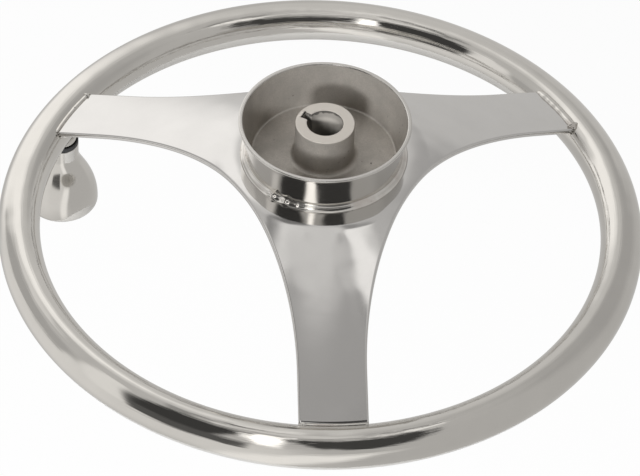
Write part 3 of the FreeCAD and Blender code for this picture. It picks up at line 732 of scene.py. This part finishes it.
def weld_steel(name, finishes):
    """A polished weld bead: bright steel with small pits and brownish heat marks."""
    shader = new_shader(name, Metallic=1.0)
    place = object_place(shader)
    skin = shared("Cast skin", place)
    heated = remap(skin["Cloud"], 0.48, 0.66)
    colours = blend(heated, tinted(finishes.steel, 1.02), (0.6, 0.565, 0.53, 1.0))
    feed(shader, {"Base Color": blend(skin["Pits"], colours, (0.12, 0.11, 0.10, 1.0)),
                  "Roughness": remap(skin["Cloud"], 0.4, 0.7, finishes.polish, 0.2)})
    relieve(shader, calc("SUBTRACT", noise(place, 300.0, 2.0), skin["Pits"]), 0.00005)


def hub_steel(name, finishes, hub):
    """The hub casting: blasted inside, polished outside and on the lip, and turned on the boss's top."""
    def cast(factor):
        return tinted(finishes.cast, factor)

    shader = new_shader(name, Metallic=1.0)
    place = object_place(shader)
    lathe = shared("Lathe marks", place, Lines=2400.0)
    skin, handled = shared("Cast skin", place), shared("Handling", place)
    height = add(shader.id_data, "SeparateXYZ", {0: place}).outputs["Z"]
    # Masks of the polished outside, the lip, the boss's top and the bore
    top = hub.lip_height - hub.boss_drop
    lean = (hub.lip_diameter - hub.foot_diameter) / 2 / hub.lip_height
    wall = calc("MULTIPLY_ADD", height, lean, hub.floor_diameter / 2 + 0.0011)
    outside = calc("GREATER_THAN", lathe["Radius"], wall)
    lip = calc("GREATER_THAN", height, hub.lip_height - 0.0005)
    boss_top = calc("MULTIPLY", calc("GREATER_THAN", height, top - 0.0004), calc("LESS_THAN", lathe["Radius"], 0.02))
    bore = calc("MULTIPLY", calc("LESS_THAN", lathe["Radius"], (hub.bore_diameter + hub.boss_diameter) / 4),
                calc("LESS_THAN", height, top - 0.0004))
    machined = calc("MAXIMUM", lip, boss_top)
    blasted = calc("SUBTRACT", 1.0, calc("MAXIMUM", outside, lip))
    # The blasted skin: clouds, speckle and pits, then the boss's clean top
    cloud = remap(skin["Cloud"], 0.35, 0.7)
    dull = blend(remap(skin["Grain"], 0.35, 0.65, 0.0, 0.5), blend(cloud, cast(1.1), cast(0.86)), cast(0.72))
    dull = blend(boss_top, blend(skin["Pits"], dull, cast(0.3)), cast(1.3))
    # The bore: painted shade darkens it near its mouth, where the key lamp lights it, and painted light keeps it
    # lighter deeper down, where that lamp's shadow falls; it is mottled, with a ragged dark edge at the mouth
    bore_painted_light_and_shade = blend(remap(height, top - 0.01, top - 0.004), cast(0.95), cast(0.42))
    bore_painted_light_and_shade = blend(remap(skin["Cloud"], 0.4, 0.6, 0.0, 0.5), bore_painted_light_and_shade, cast(0.5))
    ragged = calc("MULTIPLY_ADD", noise(place, 420.0, 3.0), 0.0034, height)
    mouth = calc("MULTIPLY", calc("GREATER_THAN", ragged, top + 0.0001), bore)
    dull = blend(mouth, blend(bore, dull, bore_painted_light_and_shade), cast(0.15))
    bright = blend(machined, tinted(finishes.steel, 1.0), tinted(finishes.turned, 1.0))
    smooth = between(machined, remap(handled["Smudges"], 0.4, 0.75, finishes.polish * 0.4, finishes.polish * 0.9),
                     remap(lathe["Marks"], 0.3, 0.7, 0.16, 0.32))
    rough = remap(cloud, 0.0, 1.0, finishes.casting * 0.9, finishes.casting * 1.15)
    feed(shader, {"Base Color": blend(blasted, bright, dull), "Roughness": between(blasted, smooth, rough),
                  "Metallic": calc("SUBTRACT", remap(blasted, 0.0, 1.0, 1.0, finishes.cast_metal), bore)})
    grain = calc("SUBTRACT", calc("MULTIPLY_ADD", skin["Grain"], 0.45, skin["Cloud"]), skin["Pits"])
    relieve(shader, between(blasted, calc("MULTIPLY", lathe["Marks"], 0.05), grain), 0.00014)


def plain_steel(name, finishes, axis, tone, roughness, lines):
    """Ground bearing steel with fine turned lines and a thin film of grease that clouds its gloss."""
    shader = new_shader(name, Metallic=1.0)
    place = object_place(shader)
    lathe = shared("Lathe marks", centred(place, axis), Lines=lines)["Marks"]
    film = noise(place, 300.0, 3.0)
    shine = calc("ADD", remap(lathe, 0.3, 0.7, roughness * 0.7, roughness * 1.3), remap(film, 0.5, 0.8, 0.0, 0.15))
    feed(shader, {"Roughness": shine,
                  "Base Color": blend(film, tinted(finishes.turned, tone), tinted(finishes.turned, tone * 0.8))})
    relieve(shader, lathe, 0.000004)


def seal_rubber(name, finishes):
    """Moulded rubber: near black, with a fine grain, a greyer bloom and a soft sheen."""
    shader = new_shader(name, Specular_IOR_Level=0.35)
    place = object_place(shader)
    bloom = noise(place, 160.0, 4.0)
    feed(shader, {"Roughness": remap(bloom, 0.3, 0.7, 0.42, 0.62),
                  "Base Color": blend(remap(bloom, 0.4, 0.7), tinted(finishes.rubber, 1.0),
                                      tinted(finishes.rubber, 2.2))})
    relieve(shader, noise(place, 3200.0, 2.0), 0.00002)


def material(name):
    found = bpy.data.materials.get(name)
    if found is None:
        raise ValueError("make the finishes first: " + name)
    return found


# Operators

class WHEEL_OT_finishes(bpy.types.Operator):
    """Make the shared effects and the materials"""
    bl_idname = "wheel.finishes"
    bl_label = "Finishes"

    def execute(self, context):
        sizes, finishes = context.scene.wheel_sizes, context.scene.wheel_finishes
        axis, ring = knob_axis(sizes), rim_section(sizes)[1]
        for make in (make_lathe_marks, make_belt_marks, make_draw_lines, make_handling, make_cast_skin):
            make()
        for name, base, marks, lines, more in (
                ("rim steel", finishes.steel, "Belt marks", 260.0, {"roughness": 0.6, "ripple": 45.0, "ring": ring}),
                ("plate steel", finishes.plate, "Belt marks", 420.0, {"waves": 0.00003, "warp": 34.0}),
                ("cap steel", finishes.steel, "Lathe marks", 900.0, {"waves": 0.000006}),
                ("knob steel", finishes.steel, "Lathe marks", 1500.0, {"waves": 0.000006, "axis": axis})):
            polished_steel(name, finishes, base, marks, lines, **more)
        weld_steel("weld steel", finishes)
        hub_steel("hub steel", finishes, context.scene.hub_sizes)
        for name, tone, roughness, lines in (
                ("race steel", 1.05, 0.14, 2500.0), ("ball steel", 1.1, 0.06, 500.0),
                ("cage steel", 0.9, 0.3, 1400.0), ("shield steel", 0.95, 0.22, 3000.0),
                ("spindle steel", 1.0, 0.18, 2000.0), ("spring steel", 0.5, 0.28, 1200.0)):
            plain_steel(name, finishes, axis, tone, roughness, lines)
        seal_rubber("seal rubber", finishes)
        return {"FINISHED"}


class WHEEL_OT_rim(bpy.types.Operator):
    """Make the bent and polished rim tube"""
    bl_idname = "wheel.rim"
    bl_label = "Rim"

    def execute(self, context):
        sizes = context.scene.wheel_sizes
        tube, ring = rim_section(sizes)
        section = np.linspace(0.0, FULL_TURN, 72, endpoint=False)
        profile = np.stack([ring + tube * np.cos(section), -sizes.rim_dish + tube * np.sin(section)], -1)
        make_piece("rim", [(turned(profile, 576), True, True)], "rim steel", "rim_tube")
        return {"FINISHED"}


class WHEEL_OT_spokes(bpy.types.Operator):
    """Make the dished three-spoke plate"""
    bl_idname = "wheel.spokes"
    bl_label = "Spoke plate"

    def execute(self, context):
        patches = plate_patches(context.scene.wheel_sizes, context.scene.hub_sizes)
        make_piece("spokes", patches, "plate steel", "spoke_plate")
        return {"FINISHED"}


class WHEEL_OT_hub(bpy.types.Operator):
    """Make the hub casting with its keyed taper bore"""
    bl_idname = "wheel.hub"
    bl_label = "Hub casting"

    def execute(self, context):
        grid = hub_grid(context.scene.hub_sizes)
        make_piece("hub", [(grid, True, True)], "hub steel", "hub_casting")
        return {"FINISHED"}


class WHEEL_OT_welds(bpy.types.Operator):
    """Make the bead round the hub and the beads at the spokes' ends"""
    bl_idname = "wheel.welds"
    bl_label = "Weld beads"

    def execute(self, context):
        sizes, thick = context.scene.wheel_sizes, context.scene.wheel_sizes.plate_thickness
        ring_bead = hub_bead_grid(context.scene.hub_sizes)
        make_piece("hub_bead", [(ring_bead, True, True)], "weld steel", "hub_weld")
        patches = []
        for k, (leg, blob) in enumerate(((0.0021, 0.7), (0.0011, 0.9), (0.001, 0.5))):
            middle = sizes.first_spoke + k * FULL_TURN / 3
            for bead in (spoke_bead_grid(sizes, 0.0, 1.0, middle, leg, blob, 20 + 3 * k),
                         spoke_bead_grid(sizes, thick, -1.0, middle, 0.0018, 0.5, 40 + 3 * k)):
                patches.append((bead, True, False))
        make_piece("spoke_beads", patches, "weld steel", "spoke_welds")
        return {"FINISHED"}


class WHEEL_OT_centre_cap(bpy.types.Operator):
    """Make the spun centre cap on the front"""
    bl_idname = "wheel.centre_cap"
    bl_label = "Centre cap"

    def execute(self, context):
        grid = cap_grid(context.scene.wheel_sizes)
        make_piece("front_cap", [(grid, False, True)], "cap steel", "centre_cap")
        return {"FINISHED"}


class WHEEL_OT_knob(bpy.types.Operator):
    """Make the bell, its seal and plug, and the stub under the rim"""
    bl_idname = "wheel.knob"
    bl_label = "Knob"

    def execute(self, context):
        for name, shape, wraps, finish, node, body, slot in (
                ("knob_bell", bell_grid, True, "knob steel", "knob_shell", "knob", "polished_steel"),
                ("knob_plug", plug_grid, False, "knob steel", "knob_end_cap", "knob", "polished_steel"),
                ("knob_ring", seal_grid, True, "seal rubber", "knob_seal", "knob", "black_rubber"),
                ("knob_stub", stub_grid, False, "knob steel", "knob_boss", "wheel", "polished_steel")):
            grid = shape(context.scene.wheel_sizes, context.scene.knob_sizes)
            make_piece(name, [(grid, wraps, True)], finish, node, body)
        return {"FINISHED"}


class WHEEL_OT_inside(bpy.types.Operator):
    """Give the bearings, the spindle and the sealing rings their finishes"""
    bl_idname = "wheel.inside"
    bl_label = "Bearings and rings"

    def execute(self, context):
        finishes = {"knob_spindle": "spindle steel", "bearing_spacer": "spindle steel",
                    "spindle_circlip": "spring steel", "centre_cap_o_ring": "seal rubber",
                    "end_cap_o_ring": "seal rubber"}
        for bearing in ("upper", "lower"):
            for part, finish in (("inner_race", "race"), ("outer_race", "race"), ("balls", "ball"),
                                 ("ball_cage", "cage"), ("shields", "shield")):
                finishes[bearing + "_" + part] = finish + " steel"
        for node, finish in finishes.items():
            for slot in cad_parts[node].material_slots:
                slot.material = material(finish)
        return {"FINISHED"}


def within(value, half, blur):
    """1 where value is nearer than half to 0, and 0 beyond, with a cubic blend over the blur between."""
    t = np.clip((half - np.abs(value)) / blur + 0.5, 0.0, 1.0)
    return t * t * (3 - 2 * t)


def tent_light(turn, rise):
    """Brightness of the tent by direction in degrees: even cloth, then each soft patch painted over the last.

    A patch has its middle turn and rise, its half sizes, how far its two upright sides lean for each degree
    of rise, its blur and its brightness.
    """
    light = np.full(np.broadcast(turn, rise).shape, 0.62)
    for middle, half_turn, height, half_rise, lean_low, lean_high, blur, brightness in (
            (-140, 50, -30, 32, 0, 0, 30, 0.88), (-30, 65, -10, 50, 0, 0, 35, 0.6),
            (30, 35, 18, 28, 0, 0, 28, 0.5), (62, 20, -24, 26, 0, 0, 15, 0.68),
            (105, 30, 35, 45, 0.2, 0.2, 25, 0.75), (180, 28, -30, 20, 0, 0, 20, 0.93),
            (162, 20, 30, 35, 0, 0, 16, 0.66), (120, 18, 8, 38, -0.3, -0.4, 20, 1.27),
            (168, 22, -1, 16, 0, 0, 6, 0.53), (145, 13, 27, 8, 0, 0, 8, 0.9),
            (-163, 8, 12, 32, -0.4, -0.5, 5, 1.0), (-139, 20, 28, 34, -0.35, 0.1, 7, 0.06),
            (-111, 6, 38, 38, -0.3, 0, 5, 2.2), (-100, 12, -44, 24, 0.7, 0.7, 12, 1.15),
            (-75, 24, 33, 29, -0.5, 0.6, 6, 0.07), (163, 55, 69, 6, -0.7, -0.6, 5, 0.22),
            (-180, 45, 76, 8, 0, 0, 10, 0.95), (-10, 60, 69, 5, 0, 0.7, 6, 0.35),
            (95, 8, 62, 9, 0.2, 0.4, 4, 1.0), (-95, 180, 88, 10, 0, 0, 8, 0.82),
            (-95, 62, 73, 6, 1.0, -1.0, 5, 0.47), (-5, 20, 70, 6, 0, -0.8, 5, 1.2),
            (-129, 18, -10, 13, -0.25, 0, 4, 0.12)):
        away = np.mod(turn - middle + 180.0, 360.0) - 180.0
        up = rise - height
        low, high = -half_turn + lean_low * up, half_turn + lean_high * up
        mask = within(away - (low + high) / 2, (high - low) / 2, blur) * within(up, half_rise, blur)
        light = light + mask * (brightness - light)
    return light


def aim(made, place, back, right):
    """Stands an object at a place, with its own Z along back and its X along right."""
    turn = Matrix(np.stack([right, np.cross(back, right), back], 1).tolist()).to_4x4()
    made.matrix_world = Matrix.Translation(np.array(place).tolist()) @ turn


class WHEEL_OT_stage(bpy.types.Operator):
    """Set up the floor, the light tent and the camera"""
    bl_idname = "wheel.stage"
    bl_label = "Stage"

    def execute(self, context):
        scene, studio = context.scene, context.scene.studio
        scene.view_settings.view_transform = "Standard"
        self.floor(studio)
        self.world(scene, studio)
        self.tent(studio)
        self.lamps()
        self.camera(scene, studio)
        return {"FINISHED"}

    def floor(self, studio):
        """A round sheet of paper, which the camera sees as near white."""
        mesh = bpy.data.meshes.new("floor")
        turn = np.linspace(0.0, FULL_TURN, 64, endpoint=False)
        disc = around(6.0, turn, solids_box[0][2] - studio.floor_drop)
        mesh.from_pydata(disc.tolist(), [], [list(range(len(disc)))])
        shader = new_shader("floor paper", Base_Color=(0.85, 0.85, 0.85, 1.0), Roughness=0.8)
        tree = shader.id_data
        white = add(tree, "Emission", {"Strength": 1.0})
        path = add(tree, "LightPath").outputs
        seen = calc("MAXIMUM", calc("MULTIPLY", path["Is Camera Ray"], 0.96),
                    calc("MULTIPLY", path["Is Transmission Ray"], 0.9))
        mixed = add(tree, "MixShader", {0: seen, 1: shader.outputs[0], 2: white.outputs[0]})
        feed(tree.nodes["Material Output"], {"Surface": mixed.outputs[0]})
        mesh.materials.append(material("floor paper"))
        link("floor", mesh)

    def world(self, scene, studio):
        """White for the camera, even cloth beyond the tent for mirrors, and dim light for the rest."""
        scene.world = bpy.data.worlds.new("tent")
        scene.world.use_nodes = True
        tree = scene.world.node_tree
        plain = tree.nodes["Background"]
        feed(plain, {"Color": (1.0, 1.0, 1.0, 1.0), "Strength": 0.14})
        cloth = add(tree, "Background", {"Color": (1.0, 0.99, 0.975, 1.0), "Strength": 0.6 * studio.tent})
        white = add(tree, "Background", {"Strength": 1.0})
        path = add(tree, "LightPath").outputs
        mirrored = add(tree, "MixShader", {0: path["Is Glossy Ray"], 1: plain.outputs[0], 2: cloth.outputs[0]})
        seen = add(tree, "MixShader", {0: path["Is Camera Ray"], 1: mirrored.outputs[0], 2: white.outputs[0]})
        feed(tree.nodes["World Output"], {"Surface": seen.outputs[0]})

    def tent(self, studio):
        """A round tent that only mirrors show, with its light kept on its points."""
        lowest, highest = -69.0, 89.7
        turn = np.linspace(0.0, 360.0, 240, endpoint=False)
        rise = np.linspace(lowest, highest, 140)[:, None]
        out, up = studio.tent_radius * np.cos(np.radians(rise)), studio.tent_radius * np.sin(np.radians(rise))
        points = around(out, np.radians(turn), studio.tent_height + up)
        mesh = bpy.data.meshes.new("tent")
        quads = grid_quads(*points.shape[:2], False, True)
        mesh.from_pydata(points.reshape(-1, 3).tolist(), [], quads.tolist())
        light = mesh.attributes.new("light", "FLOAT", "POINT")
        light.data.foreach_set("value", (tent_light(turn, rise) * studio.tent).ravel().astype(np.float32))
        cloth = bpy.data.materials.new("tent cloth")
        cloth.use_nodes = True
        tree = cloth.node_tree
        tree.nodes.clear()
        kept = add(tree, "Attribute", attribute_name="light").outputs["Fac"]
        lit = add(tree, "Emission", {"Color": (1.0, 0.985, 0.965, 1.0), "Strength": kept})
        add(tree, "OutputMaterial", {"Surface": lit.outputs[0]})
        mesh.materials.append(cloth)
        tent = link("tent", mesh)
        tent.visible_camera = tent.visible_diffuse = tent.visible_shadow = False

    def lamps(self):
        for name, place, size, power in (("key lamp", (-0.41, -1.42, 0.6), 0.26, 31.0),
                                         ("fill lamp", (-0.8, -1.1, 0.85), 0.5, 14.0)):
            data = bpy.data.lights.new(name, "AREA")
            data.shape = "DISK"
            data.size = size
            data.energy = power
            lamp = link(name, data)
            lamp.visible_glossy = False
            back = np.array(place) / np.linalg.norm(place)
            right = np.cross((0.0, 0.0, 1.0), back)
            aim(lamp, place, back, right / np.linalg.norm(right))

    def camera(self, scene, studio):
        a, e, r = studio.camera_turn, studio.camera_rise, studio.camera_roll
        back = np.array([sin(a) * cos(e), -cos(a) * cos(e), sin(e)])
        level = np.array([cos(a), sin(a), 0.0])
        rise = np.cross(back, level)
        place = back * studio.camera_distance - rise * studio.camera_shift
        place[2] -= scene.wheel_sizes.rim_dish
        data = bpy.data.cameras.new("camera")
        data.lens = studio.focal
        data.sensor_width = 36.0
        data.sensor_fit = "HORIZONTAL"
        data.clip_end = 50.0
        scene.camera = link("camera", data)
        aim(scene.camera, place, back, cos(r) * level + sin(r) * rise)


class WHEEL_PT_panel(bpy.types.Panel):
    """Lists the sizes, the finishes and the steps"""
    bl_idname = "WHEEL_PT_panel"
    bl_label = "Boat steering wheel"
    bl_space_type = "VIEW_3D"
    bl_region_type = "UI"
    bl_category = "Wheel"

    def draw(self, context):
        layout = self.layout
        for settings in settings_groups:
            group = getattr(context.scene, settings)
            box = layout.box()
            box.label(text=settings.replace("_", " ").capitalize())
            for name in group.bl_rna.properties.keys():
                if name not in ("rna_type", "name"):
                    box.prop(group, name)
        for step in steps:
            layout.operator(step.bl_idname)


settings_groups = {"wheel_sizes": WheelSizes, "hub_sizes": HubSizes, "knob_sizes": KnobSizes,
                   "wheel_finishes": Finishes, "studio": Studio}
steps = [WHEEL_OT_finishes, WHEEL_OT_rim, WHEEL_OT_spokes, WHEEL_OT_hub, WHEEL_OT_welds, WHEEL_OT_centre_cap,
         WHEEL_OT_knob, WHEEL_OT_inside, WHEEL_OT_stage]


def register():
    for kind in [*settings_groups.values(), *steps, WHEEL_PT_panel]:
        bpy.utils.register_class(kind)
    for name, kind in settings_groups.items():
        setattr(bpy.types.Scene, name, bpy.props.PointerProperty(type=kind))


def unregister():
    for name in settings_groups:
        delattr(bpy.types.Scene, name)
    for kind in [WHEEL_PT_panel, *reversed(steps), *reversed(settings_groups.values())]:
        bpy.utils.unregister_class(kind)


def main():
    register()
    bpy.ops.wheel.finishes()
    bpy.ops.wheel.rim()
    bpy.ops.wheel.spokes()
    bpy.ops.wheel.hub()
    bpy.ops.wheel.welds()
    bpy.ops.wheel.centre_cap()
    bpy.ops.wheel.knob()
    bpy.ops.wheel.inside()
    bpy.ops.wheel.stage()


if __name__ == "__main__":
    main()
